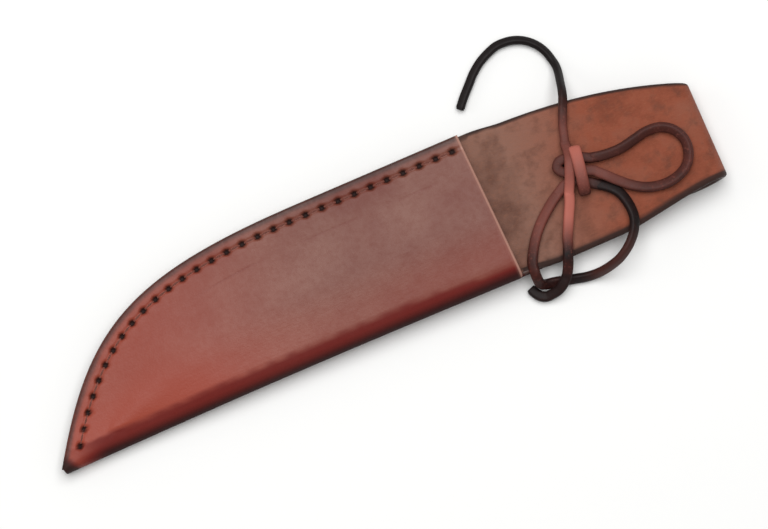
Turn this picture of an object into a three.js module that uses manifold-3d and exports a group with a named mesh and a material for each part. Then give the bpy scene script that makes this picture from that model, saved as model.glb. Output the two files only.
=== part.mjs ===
// Leather sheath for a digging knife, lying on its back with its tie thong in a bow.
// Millimetres. +X runs from the tip to the belt loop, +Y from the folded edge to the sewn edge,
// +Z up out of the front. The origin is under the middle of the sheath, on the table.
import * as THREE from "three";
import { mergeVertices } from "three/addons/utils/BufferGeometryUtils.js";
import Module from "manifold-3d";

const wasm = await Module();
wasm.setup();

// Driving dimensions
const sheath = { length: 285, width: 61, leather: 3 };
const pocket = { mouthAtSeam: 193.8, mouthAtFold: 195.8, backEnd: 196.9, curveEnd: 125 };
const welt = { width: 15, layer: 2.35, clearOfFold: 6.1, straightFrom: 120 };
const seam = { inset: 5.4, start: 13, end: 4.5, stitches: 30 };
const row = { start: 156, end: 189, stitches: 6, upper: 8, lower: -18 };
const thread = { radius: 0.35, side: 0.5, depth: 0.45, sides: 6 };
const stitchHole = { radius: 1.05, sides: 6 };
const groove = { width: 2.3, depth: 1 };
const loop = { foldRadius: 7.5, tabStart: 150.5, tabEnd: 193.9, flatFrom: 78 };
const flap = { straightEnd: 95, startHigh: 29.4, foldLow: -25.3, foldHigh: 13.6 };
const strap = { low: -26, high: 14.5, tabLow: -23, tabHigh: 13, corner: 6 };
const flex = { halfGap: 0.6 };
const lace = { radius: 1.8, sides: 8, bridgeRadius: 1.6, holeRadius: 2.2 };
const knot = { x: 88.2, y: 1.5, z: 15.6, halfX: 6, halfY: 6.5, halfZ: 4.1 };
const clearance = 0.3;

// Worked out from them
const halfLength = sheath.length / 2;
const foldEdge = -sheath.width / 2;
const seamEdge = sheath.width / 2;
const stack = 2 * sheath.leather + 2 * welt.layer + 3 * clearance;
const foldRadius = stack / 2;
const frontUnder = stack - sheath.leather;
// The pocket leans back on its tip and on the sewn end of the belt loop.
const lean = Math.atan((sheath.leather + clearance) / loop.tabStart);
const pocketX = foldRadius * Math.sin(lean) - halfLength;

const leatherLook = { color: 0x8a4a3c, roughness: 0.45, metalness: 0 };
const fleshLook = { color: 0x7d4e3c, roughness: 0.85, metalness: 0 };
const weltLook = { color: 0x5a2c22, roughness: 0.8, metalness: 0 };
const threadLook = { color: 0x4a1d18, roughness: 0.6, metalness: 0 };
const laceLook = { color: 0x57221b, roughness: 0.5, metalness: 0 };

// Geometry helpers

function solidOf(geometry) {
  const bare = geometry.clone();
  bare.deleteAttribute("normal");
  bare.deleteAttribute("uv");
  const merged = mergeVertices(bare, 1e-4);
  const vertProperties = new Float32Array(merged.attributes.position.array);
  const triVerts = new Uint32Array(merged.index.array);
  return new wasm.Manifold(new wasm.Mesh({ numProp: 3, vertProperties, triVerts }));
}

function geometryOf(solid) {
  const { vertProperties, triVerts } = solid.getMesh();
  const geometry = new THREE.BufferGeometry();
  geometry.setAttribute("position", new THREE.BufferAttribute(vertProperties, 3));
  geometry.setIndex(new THREE.BufferAttribute(triVerts, 1));
  geometry.computeVertexNormals();
  return geometry;
}

// A plan outline made solid from one height to another.
function prism(shape, low, high) {
  const options = { depth: high - low, bevelEnabled: false, curveSegments: 14 };
  return new THREE.ExtrudeGeometry(shape, options).translate(0, 0, low);
}

// A section drawn in Y and Z, run along X.
function alongX(shape, start, end) {
  const turn = new THREE.Matrix4().makeBasis(axis(0, 1, 0), axis(0, 0, 1), axis(1, 0, 0));
  return prism(shape, start, end).applyMatrix4(turn);
}

// A section drawn in X and Z, run along Y.
function alongY(shape, low, high) {
  const turn = new THREE.Matrix4().makeBasis(axis(1, 0, 0), axis(0, 0, 1), axis(0, -1, 0));
  return prism(shape, -high, -low).applyMatrix4(turn);
}

function axis(x, y, z) {
  return new THREE.Vector3(x, y, z);
}

// A path whose sections stand exactly on its points, for thread that turns square corners.
class StitchPath extends THREE.Curve {
  constructor(points) {
    super();
    this.points = points;
  }

  getPoint(t) {
    const place = t * (this.points.length - 1);
    const index = Math.min(Math.floor(place), this.points.length - 2);
    return this.points[index].clone().lerp(this.points[index + 1], place - index);
  }

  getPointAt(t) {
    return this.getPoint(t);
  }

  getTangentAt(t) {
    const last = this.points.length - 1;
    const index = Math.round(t * last);
    const here = this.points[index];
    const before = this.points[Math.max(index - 1, 0)];
    const after = this.points[Math.min(index + 1, last)];
    const arriving = here.clone().sub(before).normalize();
    const leaving = after.clone().sub(here).normalize();
    return arriving.add(leaving).normalize();
  }
}

function tube(path, radius, sides, steps) {
  const corner = (_, i) => {
    const angle = (2 * Math.PI * i) / sides;
    return new THREE.Vector2(radius * Math.cos(angle), radius * Math.sin(angle));
  };
  const section = new THREE.Shape(Array.from({ length: sides }, corner));
  return new THREE.ExtrudeGeometry(section, { steps, extrudePath: path, bevelEnabled: false });
}

function mesh(name, geometry, look) {
  const made = new THREE.Mesh(geometry, new THREE.MeshStandardMaterial(look));
  made.name = name;
  return made;
}

// Plan outlines

// The sewn edge: a long curve up from the tip, then straight to the mouth.
const tip = new THREE.Vector2(0, foldEdge);
const curveTop = new THREE.Vector2(pocket.curveEnd, seamEdge);
const tipPull = new THREE.Vector2(30.2, 17.8);
const topPull = new THREE.Vector2(53, seamEdge);

function pocketOutline(endAtSeam, endAtFold) {
  const shape = new THREE.Shape();
  shape.moveTo(tip.x, tip.y);
  shape.lineTo(endAtFold, foldEdge);
  shape.lineTo(endAtSeam, seamEdge);
  shape.lineTo(curveTop.x, curveTop.y);
  shape.bezierCurveTo(topPull.x, topPull.y, tipPull.x, tipPull.y, tip.x, tip.y);
  return shape;
}

// The space inside the welt, which the blade fills.
function bladeOutline() {
  const inner = seamEdge - welt.width;
  const low = foldEdge + welt.clearOfFold;
  const beyond = pocket.backEnd + 10;
  const shape = new THREE.Shape();
  shape.moveTo(-10, foldEdge - 10);
  shape.lineTo(beyond, foldEdge - 10);
  shape.lineTo(beyond, inner);
  shape.lineTo(welt.straightFrom, inner);
  shape.bezierCurveTo(52, inner, 46.9, -3.8, 17, low);
  shape.lineTo(-10, low);
  return shape;
}

// The flap past the mouth narrows towards the belt loop's fold.
function flapOutline(start) {
  const shape = new THREE.Shape();
  const beyond = halfLength + 5;
  shape.moveTo(start, foldEdge);
  shape.lineTo(flap.straightEnd, foldEdge);
  shape.bezierCurveTo(108, -29.6, 127, -27.4, halfLength, flap.foldLow);
  shape.lineTo(beyond, flap.foldLow);
  shape.lineTo(beyond, flap.foldHigh);
  shape.lineTo(halfLength, flap.foldHigh);
  shape.bezierCurveTo(120, 24.2, flap.straightEnd, 28.9, start, flap.startHigh);
  return shape;
}

function tabOutline() {
  const shape = new THREE.Shape();
  const { tabLow, tabHigh, corner } = strap;
  shape.moveTo(loop.tabEnd, tabLow);
  shape.lineTo(loop.tabEnd, tabHigh);
  shape.lineTo(loop.tabStart + corner, tabHigh);
  shape.absarc(loop.tabStart + corner, tabHigh - corner, corner, Math.PI / 2, Math.PI, false);
  shape.absarc(loop.tabStart + corner, tabLow + corner, corner, Math.PI, 1.5 * Math.PI, false);
  return shape;
}

// Stitching

// Each stitch has its place in plan, and the direction across the row.
function seamStitches() {
  const line = new THREE.CurvePath();
  line.add(new THREE.CubicBezierCurve(tip, tipPull, topPull, curveTop));
  line.add(new THREE.LineCurve(curveTop, new THREE.Vector2(pocket.mouthAtSeam, seamEdge)));
  const total = line.getLength();
  const step = (total - seam.start - seam.end) / (seam.stitches - 1);
  return Array.from({ length: seam.stitches }, (_, i) => {
    const t = (seam.start + i * step) / total;
    const along = line.getTangentAt(t);
    const across = new THREE.Vector2(along.y, -along.x);
    return { place: line.getPointAt(t).addScaledVector(across, seam.inset), across };
  });
}

function rowStitches(y) {
  const step = (row.end - row.start) / (row.stitches - 1);
  return Array.from({ length: row.stitches }, (_, i) => ({
    place: new THREE.Vector2(row.start + i * step, y),
    across: new THREE.Vector2(0, -1),
  }));
}

function cutHoles(solid, stitches) {
  const { radius, sides } = stitchHole;
  return stitches.reduce((left, { place, across }) => {
    const hole = new THREE.CylinderGeometry(radius, radius, 60, sides);
    hole.rotateX(Math.PI / 2).rotateZ(Math.atan2(across.y, across.x) + Math.PI / 2);
    return left.subtract(solidOf(hole.translate(place.x, place.y, 0)));
  }, solid);
}

// The groove that the thread lies in, centred on one face of the leather.
function cutGroove(solid, stitches, face) {
  return stitches.slice(1).reduce((left, stitch, i) => {
    const run = stitch.place.clone().sub(stitches[i].place);
    const middle = stitch.place.clone().add(stitches[i].place).multiplyScalar(0.5);
    const slot = new THREE.BoxGeometry(run.length() + 1, groove.width, 2 * groove.depth);
    slot.rotateZ(Math.atan2(run.y, run.x)).translate(middle.x, middle.y, face);
    return left.subtract(solidOf(slot));
  }, solid);
}

// One thread of a saddle stitch: over a stitch, down its hole, under the next and up again.
function saddleThread(stitches, high, low, second) {
  const side = second ? -thread.side : thread.side;
  const points = stitches.flatMap(({ place, across }, i) => {
    const at = place.clone().addScaledVector(across, side);
    const top = new THREE.Vector3(at.x, at.y, high - thread.depth);
    const bottom = new THREE.Vector3(at.x, at.y, low + thread.depth);
    return (i % 2 === 0) === second ? [top, bottom] : [bottom, top];
  });
  return tube(new StitchPath(points), thread.radius, thread.sides, points.length - 1);
}

// The pocket

// The front panel's section: flat, then turned round the folded edge to the back.
function frontSection() {
  const shape = new THREE.Shape();
  const centre = foldEdge + foldRadius;
  const inner = foldRadius - sheath.leather;
  shape.moveTo(seamEdge + 5, stack);
  shape.lineTo(centre, stack);
  shape.absarc(centre, foldRadius, foldRadius, Math.PI / 2, 1.5 * Math.PI, false);
  shape.absarc(centre, foldRadius, inner, 1.5 * Math.PI, Math.PI / 2, true);
  shape.lineTo(seamEdge + 5, frontUnder);
  return shape;
}

function buildPocket() {
  const group = new THREE.Group();
  const seamLine = seamStitches();
  const upperRow = rowStitches(row.upper);
  const lowerRow = rowStitches(row.lower);

  const frontPlan = prism(pocketOutline(pocket.mouthAtSeam, pocket.mouthAtFold), -5, stack + 5);
  let front = solidOf(frontPlan).intersect(solidOf(alongX(frontSection(), -5, 205)));
  front = cutGroove(cutHoles(front, seamLine), seamLine, stack);
  group.add(mesh("front_panel", geometryOf(front), leatherLook));

  const backPlan = prism(pocketOutline(pocket.backEnd, pocket.backEnd), 0, sheath.leather);
  const besideFold = new THREE.BoxGeometry(300, 2 * foldRadius, 20);
  besideFold.translate(100, foldEdge + clearance, 0);
  let back = solidOf(backPlan).subtract(solidOf(besideFold));
  back = cutGroove(cutHoles(back, seamLine), seamLine, 0);
  for (const stitches of [upperRow, lowerRow]) {
    back = cutGroove(cutHoles(back, stitches), stitches, sheath.leather);
  }
  group.add(mesh("back_panel", geometryOf(back), leatherLook));

  const blade = solidOf(prism(bladeOutline(), -5, stack + 5));
  ["welt_back", "welt_front"].forEach((name, i) => {
    const low = sheath.leather + clearance + i * (welt.layer + clearance / 2);
    const plan = prism(pocketOutline(pocket.mouthAtSeam, pocket.mouthAtSeam), low, low + welt.layer);
    const strip = cutHoles(solidOf(plan).subtract(blade), seamLine);
    group.add(mesh(name, geometryOf(strip), weltLook));
  });

  group.add(mesh("seam_thread_a", saddleThread(seamLine, stack, 0, false), threadLook));
  group.add(mesh("seam_thread_b", saddleThread(seamLine, stack, 0, true), threadLook));

  const tabTop = -clearance;
  const tabUnder = tabTop - sheath.leather;
  let tab = solidOf(prism(tabOutline(), tabUnder, tabTop));
  for (const stitches of [upperRow, lowerRow]) {
    tab = cutGroove(cutHoles(tab, stitches), stitches, tabUnder);
  }
  group.add(mesh("loop_tab", geometryOf(tab), leatherLook));
  const rows = { loop_thread_upper: upperRow, loop_thread_lower: lowerRow };
  for (const [name, stitches] of Object.entries(rows)) {
    const sewn = saddleThread(stitches, sheath.leather, tabUnder, false);
    group.add(mesh(name, sewn, threadLook));
  }

  group.position.set(pocketX, 0, 0);
  group.rotation.y = -lean;
  return group;
}

// A point in the pocket's own side view, in the part's frame.
function fromPocket(x, z) {
  return {
    x: pocketX + x * Math.cos(lean) - z * Math.sin(lean),
    z: x * Math.sin(lean) + z * Math.cos(lean),
  };
}

// The flap and the belt loop

const hinge = fromPocket(pocket.backEnd + flex.halfGap, sheath.leather / 2);
const flapStart = hinge.x + flex.halfGap;
const flapTop = hinge.z + sheath.leather / 2;
const foldCentre = { x: halfLength - loop.foldRadius, z: loop.foldRadius };

// The flap rises to meet the round of the fold at a tangent.
const reach = { x: foldCentre.x - flapStart, z: foldCentre.z - flapTop };
const rise =
  Math.atan2(reach.z, reach.x) + Math.asin(loop.foldRadius / Math.hypot(reach.x, reach.z));

function flapSection() {
  const shape = new THREE.Shape();
  const inner = loop.foldRadius - sheath.leather;
  const from = Math.PI / 2 + rise;
  const under = flapTop - sheath.leather / Math.cos(rise);
  shape.moveTo(flapStart, under);
  shape.absarc(foldCentre.x, foldCentre.z, inner, from, -Math.PI / 2, true);
  shape.absarc(foldCentre.x, foldCentre.z, loop.foldRadius, -Math.PI / 2, from, false);
  shape.lineTo(flapStart, flapTop);
  return shape;
}

function buildFlap() {
  const section = solidOf(alongY(flapSection(), foldEdge - 5, seamEdge + 5));
  const laceHole = ([x, y]) => {
    const hole = new THREE.CylinderGeometry(lace.holeRadius, lace.holeRadius, 20, 12);
    return solidOf(hole.rotateX(Math.PI / 2).translate(x, y, flapTop));
  };
  return laceHoles.reduce(
    (left, place) => left.subtract(laceHole(place)),
    section.intersect(solidOf(prism(flapOutline(flapStart), -5, 40))),
  );
}

// The loop's strap lies on the table, and comes up to the pocket where it is sewn.
function buildStrap() {
  const end = foldCentre.x - clearance;
  const tabUnder = fromPocket(loop.tabEnd, -clearance - sheath.leather).z;
  const side = new THREE.Shape();
  side.moveTo(flapStart, tabUnder);
  side.lineTo(loop.flatFrom, 0);
  side.lineTo(end, 0);
  side.lineTo(end, sheath.leather);
  side.lineTo(loop.flatFrom, sheath.leather);
  side.lineTo(flapStart, tabUnder + sheath.leather);
  const plan = new THREE.Shape();
  plan.moveTo(flapStart, strap.tabLow);
  plan.lineTo(end, strap.low);
  plan.lineTo(end, strap.high);
  plan.lineTo(flapStart, strap.tabHigh);
  const section = solidOf(alongY(side, foldEdge, seamEdge));
  return section.intersect(solidOf(prism(plan, -5, 20)));
}

// The thong

const laceHoles = [
  [84.7, 4.6],
  [90.7, -1.2],
];

// Behind the flap, from one hole to the other, each end coming up under the knot.
const bridgeRoute = [
  [84.7, 4.6, 10.9],
  [84.7, 4.6, 9.2],
  [84.9, 4.4, 6.9],
  [86.1, 3.2, 5.4],
  [87.7, 1.7, 5.2],
  [89.3, 0.2, 5.4],
  [90.5, -1.0, 7.1],
  [90.7, -1.2, 9.6],
  [90.7, -1.2, 11.1],
];

// Each free run of the thong, from the knot outwards and, for a loop, back to it.
const runs = {
  bow_loop_right: [
    [95, 2, 13.5],
    [99, 1, 14],
    [103, 0.5, 14.5],
    [108, 0.5, 15],
    [113.5, 1.5, 15.5],
    [119, 2.5, 16],
    [124.5, 2, 16.5],
    [129, -1, 17],
    [131.5, -6, 17],
    [131, -11.5, 17],
    [128, -16, 17],
    [123, -18.5, 16.5],
    [117, -19, 15.5],
    [111, -17.5, 15],
    [106, -14.5, 14.5],
    [102, -11, 15],
    [98, -7, 16],
    [94.5, -3.5, 16],
  ],
  bow_loop_lower: [
    [79, -5.5, 12],
    [75, -8, 11.5],
    [71, -11, 11],
    [67, -14.5, 10.5],
    [63.5, -18.5, 10.5],
    [60.5, -23, 10],
    [58.5, -27, 10],
    [58, -30.5, 10],
    [58, -33, 8.5],
    [58.5, -35, 5.5],
    [60.5, -36, 3],
    [64, -36.5, 2],
    [68, -37.5, 2],
    [72, -38.5, 2],
    [76, -39.5, 2.5],
    [80, -40, 3.5],
    [83.5, -40, 6],
    [87, -39.5, 9],
    [90.5, -38.5, 12],
    [94, -36.5, 14],
    [97, -34, 14.5],
    [99.5, -31, 14.5],
    [101.5, -27, 14.5],
    [102, -23, 14.5],
    [101.5, -18.5, 14],
    [100, -14.5, 14],
    [97, -11, 13.5],
    [93.5, -8.5, 13.5],
  ],
  thong_tail_upper: [
    [88.5, 10.5, 13],
    [89.5, 14, 13],
    [90.5, 17.5, 13],
    [92, 21, 13.5],
    [93.5, 24.5, 13.5],
    [95, 28, 14],
    [96, 31, 12.5],
    [97, 34.5, 9],
    [98, 38, 5.5],
    [98.5, 41.5, 3],
    [98, 45, 2],
    [97, 48.5, 2],
    [95, 52, 2],
    [92, 55, 2],
    [88.5, 57, 2],
    [84.5, 58, 2],
    [80, 58, 2],
    [75.5, 56.5, 2],
    [71.5, 54.5, 2],
    [67.5, 51.5, 2],
    [64, 48, 2],
    [60.5, 44.5, 2],
    [57, 40.5, 2],
  ],
  thong_tail_lower: [
    [82.5, -7, 14],
    [81, -11, 13],
    [79, -15, 12],
    [77, -19, 12],
    [75, -23, 12],
    [73.5, -27, 12],
    [72, -30.5, 11.5],
    [71, -33, 10],
    [70, -35, 8.5],
    [69, -36.5, 7],
    [67, -38.5, 6],
    [64.5, -40, 4.5],
    [61.5, -40.5, 3],
    [59, -40.5, 2],
    [57, -39.5, 2],
    [55.5, -37.5, 2],
    [54.5, -35, 2],
  ],
};

function curveThrough(route) {
  return new THREE.CatmullRomCurve3(route.map(([x, y, z]) => axis(x, y, z)), false, "centripetal");
}

function buildKnot() {
  const core = new THREE.SphereGeometry(1, 14, 10);
  core.scale(knot.halfX, knot.halfY, knot.halfZ);
  const wrap = new THREE.TorusGeometry(knot.halfY - 1.4, 1.9, 8, 16);
  wrap.rotateY(Math.PI / 2).scale(1, 1, 0.6).rotateZ(-0.2);
  return solidOf(core).add(solidOf(wrap)).translate([knot.x, knot.y, knot.z]);
}

function buildThong() {
  const group = new THREE.Group();
  const bridge = tube(curveThrough(bridgeRoute), lace.bridgeRadius, lace.sides, 16);
  group.add(mesh("thong_bridge", bridge, laceLook));
  group.add(mesh("bow_knot", geometryOf(buildKnot()), laceLook));
  for (const [name, route] of Object.entries(runs)) {
    const steps = Math.round(1.4 * route.length);
    group.add(mesh(name, tube(curveThrough(route), lace.radius, lace.sides, steps), laceLook));
  }
  return group;
}

const root = new THREE.Group();
root.add(buildPocket());
root.add(mesh("belt_flap", geometryOf(buildFlap()), fleshLook));
root.add(mesh("loop_strap", geometryOf(buildStrap()), leatherLook));
root.add(buildThong());

export default root;
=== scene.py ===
import bisect
import math

import bpy
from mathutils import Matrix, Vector, noise


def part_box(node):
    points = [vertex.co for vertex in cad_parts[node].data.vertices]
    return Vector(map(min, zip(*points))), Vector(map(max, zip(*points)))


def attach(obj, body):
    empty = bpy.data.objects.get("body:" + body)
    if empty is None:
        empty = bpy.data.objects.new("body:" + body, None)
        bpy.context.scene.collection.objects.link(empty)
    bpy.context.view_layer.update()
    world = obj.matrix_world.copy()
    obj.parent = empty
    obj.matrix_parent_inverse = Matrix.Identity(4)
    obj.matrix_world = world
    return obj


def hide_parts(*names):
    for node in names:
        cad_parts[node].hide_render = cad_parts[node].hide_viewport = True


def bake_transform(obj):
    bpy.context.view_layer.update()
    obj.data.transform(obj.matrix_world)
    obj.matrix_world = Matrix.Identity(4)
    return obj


# A leather knife sheath on a pale table, its thong tied in a bow. Metres, +Z up, +X towards the belt loop.

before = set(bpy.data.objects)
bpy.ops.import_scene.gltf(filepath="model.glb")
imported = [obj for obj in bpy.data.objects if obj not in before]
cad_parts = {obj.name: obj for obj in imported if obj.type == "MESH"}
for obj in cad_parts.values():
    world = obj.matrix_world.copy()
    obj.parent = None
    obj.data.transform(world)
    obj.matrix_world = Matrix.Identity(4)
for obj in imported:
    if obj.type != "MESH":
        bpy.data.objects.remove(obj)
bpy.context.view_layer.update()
bpy.ops.object.select_all(action="DESELECT")

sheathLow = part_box("front_panel")[0]
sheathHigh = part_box("front_panel")[1]
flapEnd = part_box("belt_flap")[1].x
upward = Vector((0, 0, 1))


# Camera, table and light

studio = {
    "aim": (0.00525, -0.0044, 0.0100),
    "distance": 1.5,
    "tilt": 5.0,            # degrees off straight down
    "turn": -23.3,          # the sheath's slant in the view
    "lens": 180.6,
    "floorSize": 4.0,
    "floorColour": (0.86, 0.86, 0.85, 1),
    "keySize": 1.6,
    "keyHeight": 1.8,
    "keyShift": 0.4,
    "keyPower": 36.0,
    "fillPower": 1.2,
    "skyStrength": 0.32,
    "fillSize": 0.6,
    "fillShift": (-0.9, 0.5, 0.7),
    "nearest": 0.01,
    "floorHeight": -0.0001,
    "floorRoughness": 0.9,
    "lowest": 0.00005,      # laces and threads stay above the table
}


def aimAt(thing, target):
    thing.rotation_mode = "QUATERNION"
    thing.rotation_quaternion = (target - thing.location).to_track_quat("-Z", "Y")


def makeCamera():
    turn = math.radians(studio["turn"])
    tilt = math.radians(studio["tilt"])
    viewUp = Vector((-math.sin(turn), math.cos(turn), 0))
    aim = Vector(studio["aim"])
    bpy.ops.object.camera_add()
    camera = bpy.context.object
    camera.name = "camera"
    camera.location = aim + studio["distance"] * (math.cos(tilt) * upward - math.sin(tilt) * viewUp)
    camera.rotation_mode = "XYZ"
    camera.rotation_euler = (tilt, 0, turn)
    camera.data.lens = studio["lens"]
    camera.data.clip_start = studio["nearest"]
    bpy.context.scene.camera = camera
    return viewUp


def makeFloor():
    bpy.ops.mesh.primitive_plane_add(size=studio["floorSize"], location=(0, 0, studio["floorHeight"]))
    floor = bpy.context.object
    floor.name = "floor"
    paint = bpy.data.materials.new("paleTable")
    paint.use_nodes = True
    shader = paint.node_tree.nodes["Principled BSDF"]
    shader.inputs["Base Color"].default_value = studio["floorColour"]
    shader.inputs["Roughness"].default_value = studio["floorRoughness"]
    floor.data.materials.append(paint)


def makeLights(viewUp):
    scene = bpy.context.scene
    scene.view_settings.view_transform = "Standard"
    world = bpy.data.worlds.new("softSky")
    world.use_nodes = True
    world.node_tree.nodes["Background"].inputs["Color"].default_value = (1, 1, 1, 1)
    world.node_tree.nodes["Background"].inputs["Strength"].default_value = studio["skyStrength"]
    scene.world = world
    aim = Vector(studio["aim"])
    overhead = aim + studio["keyShift"] * viewUp + studio["keyHeight"] * upward
    aside = aim + Vector(studio["fillShift"])
    key = (studio["keyPower"], studio["keySize"], overhead)
    fill = (studio["fillPower"], studio["fillSize"], aside)
    for power, size, place in (key, fill):
        bpy.ops.object.light_add(type="AREA", location=place)
        light = bpy.context.object
        light.data.energy = power
        light.data.size = size
        aimAt(light, aim)


makeLights(makeCamera())
makeFloor()
print("camera, table and light")


# Finishes, among them painted shade and painted highlight colours

finish = {
    "grain": (0.178, 0.060, 0.038, 1),
    "grainDeep": (0.130, 0.024, 0.013, 1),
    # painted shading: redder and less washed where the sheen falls off, towards the tip and the fold
    "grainSheenFalloff": (0.290, 0.046, 0.024, 1),
    # painted shade where the fold turns from the light, also used in the tooled crease
    "grainFoldShade": (0.120, 0.004, 0.002, 1),
    # painted shade at the fold's edge; it also blackens the tip
    "deepFoldShade": (0.012, 0.001, 0.001, 1),
    # painted highlight on the mouth's rounded lip
    "mouthHighlight": (0.420, 0.220, 0.170, 1),
    "flesh": (0.225, 0.108, 0.076, 1),
    # painted shading: the flap warmer towards its belt-loop end, from how the light falls on its rise
    "fleshWarmShading": (0.245, 0.050, 0.019, 1),
    "fleshDark": (0.085, 0.032, 0.020, 1),
    "fleshPale": (0.300, 0.120, 0.070, 1),
    # dyed edges; also painted shade widening the flap's lower edge
    "edge": (0.022, 0.009, 0.007, 1),
    "edgeWorn": (0.070, 0.024, 0.016, 1),
    # painted shade in the stitch holes
    "hole": (0.012, 0.002, 0.001, 1),
    "thread": (0.250, 0.070, 0.046, 1),
    "threadDark": (0.190, 0.050, 0.032, 1),
    "lace": (0.060, 0.010, 0.006, 1),
    # the lace's darker patches, and its painted shade
    "laceDarkAndShade": (0.005, 0.002, 0.002, 1),
    # random worn specks, and the painted highlight on laces lying flat to the light
    "laceWearAndHighlight": (0.430, 0.125, 0.092, 1),
}


def newMaterial(name, **sockets):
    material = bpy.data.materials.new(name)
    material.use_nodes = True
    shader = material.node_tree.nodes["Principled BSDF"]
    for socket, value in sockets.items():
        shader.inputs[socket.replace("_", " ")].default_value = value
    return material, material.node_tree, shader


def addNode(tree, kind, inputs, **settings):
    made = tree.nodes.new("ShaderNode" + kind)
    for key, value in settings.items():
        setattr(made, key, value)
    for socket, value in inputs.items():
        if isinstance(value, bpy.types.NodeSocket):
            tree.links.new(value, made.inputs[socket])
        else:
            made.inputs[socket].default_value = value
    return made


def mixColour(tree, factor, first, second):
    return addNode(tree, "Mix", {0: factor, 6: first, 7: second}, data_type="RGBA").outputs[2]


def attribute(tree, name):
    return addNode(tree, "Attribute", {}, attribute_name=name).outputs["Fac"]


def objectPlace(tree, scale=(1, 1, 1), turn=(0, 0, 0)):
    place = addNode(tree, "TexCoord", {}).outputs["Object"]
    return addNode(tree, "Mapping", {"Vector": place, "Scale": scale, "Rotation": turn}).outputs["Vector"]


def noiseAt(tree, place, scale, detail=4.0, roughness=0.55):
    inputs = {"Vector": place, "Scale": scale, "Detail": detail, "Roughness": roughness}
    return addNode(tree, "TexNoise", inputs).outputs["Fac"]


def spread(tree, value, low, high, toLow=0.0, toHigh=1.0):
    inputs = {"Value": value, "From Min": low, "From Max": high, "To Min": toLow, "To Max": toHigh}
    return addNode(tree, "MapRange", inputs).outputs["Result"]


def maths(tree, operation, first, second):
    return addNode(tree, "Math", {0: first, 1: second}, operation=operation).outputs[0]


def bump(tree, height, distance, strength=1.0, under=None):
    inputs = {"Height": height, "Distance": distance, "Strength": strength}
    if under:
        inputs["Normal"] = under
    return addNode(tree, "Bump", inputs).outputs["Normal"]


def grainLeather():
    material, tree, shader = newMaterial(
        "grainLeather", Coat_Weight=0.08, Coat_Roughness=0.42, Specular_IOR_Level=0.28
    )
    place = objectPlace(tree)
    cloudy = noiseAt(tree, place, 28, 5)
    fine = noiseAt(tree, place, 420, 6, 0.7)
    scratches = noiseAt(tree, objectPlace(tree, (60, 900, 900), (0, 0, 0.35)), 1.0, 3)
    cells = addNode(tree, "TexVoronoi", {"Vector": place, "Scale": 1300}, feature="SMOOTH_F1")
    pores = cells.outputs["Distance"]
    colour = mixColour(tree, spread(tree, cloudy, 0.35, 0.7), finish["grain"], finish["grainDeep"])
    colour = mixColour(tree, spread(tree, fine, 0.45, 0.75, 0, 0.35), colour, finish["grainDeep"])
    colour = mixColour(tree, spread(tree, scratches, 0.66, 0.8, 0, 0.25), colour, finish["flesh"])
    fold = attribute(tree, "foldShadeAndBlackTip")
    # painted shading: redder towards the tip and the fold, where the sheen falls off
    colour = mixColour(tree, attribute(tree, "sheenFalloffTone"), colour, finish["grainSheenFalloff"])
    # painted shade along the fold, darkest at its edge; the tip is blackened too
    colour = mixColour(tree, spread(tree, fold, 0, 0.6, 0, 0.92), colour, finish["grainFoldShade"])
    colour = mixColour(tree, spread(tree, fold, 0.6, 1.0, 0, 0.9), colour, finish["deepFoldShade"])
    # painted shade in the tooled crease line
    colour = mixColour(tree, attribute(tree, "creaseShadeTone"), colour, finish["grainFoldShade"])
    # dyed edges and black tip, with painted shade widening the flap's lower edge
    ragged = maths(tree, "MULTIPLY", attribute(tree, "edgeDyeAndShade"), spread(tree, fine, 0.3, 0.55, 0.75, 1.0))
    colour = mixColour(tree, ragged, colour, finish["edge"])
    # painted highlight along the mouth's lip
    colour = mixColour(tree, attribute(tree, "mouthHighlightTone"), colour, finish["mouthHighlight"])
    # painted shade in the stitch holes
    colour = mixColour(tree, attribute(tree, "holeTone"), colour, finish["hole"])
    tree.links.new(colour, shader.inputs["Base Color"])
    uneven = spread(tree, fine, 0.4, 0.7, -0.03, 0.06)
    rough = maths(tree, "ADD", spread(tree, cloudy, 0.3, 0.7, 0.40, 0.50), uneven)
    rough = maths(tree, "ADD", rough, maths(tree, "MULTIPLY", attribute(tree, "holeTone"), 0.4))
    rough = maths(tree, "ADD", rough, maths(tree, "MULTIPLY", fold, 0.5))
    tree.links.new(rough, shader.inputs["Roughness"])
    relief = bump(tree, pores, 0.00012, 0.35)
    relief = bump(tree, fine, 0.00015, 0.5, relief)
    relief = bump(tree, scratches, 0.00010, 0.5, relief)
    tree.links.new(relief, shader.inputs["Normal"])
    return material


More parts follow.
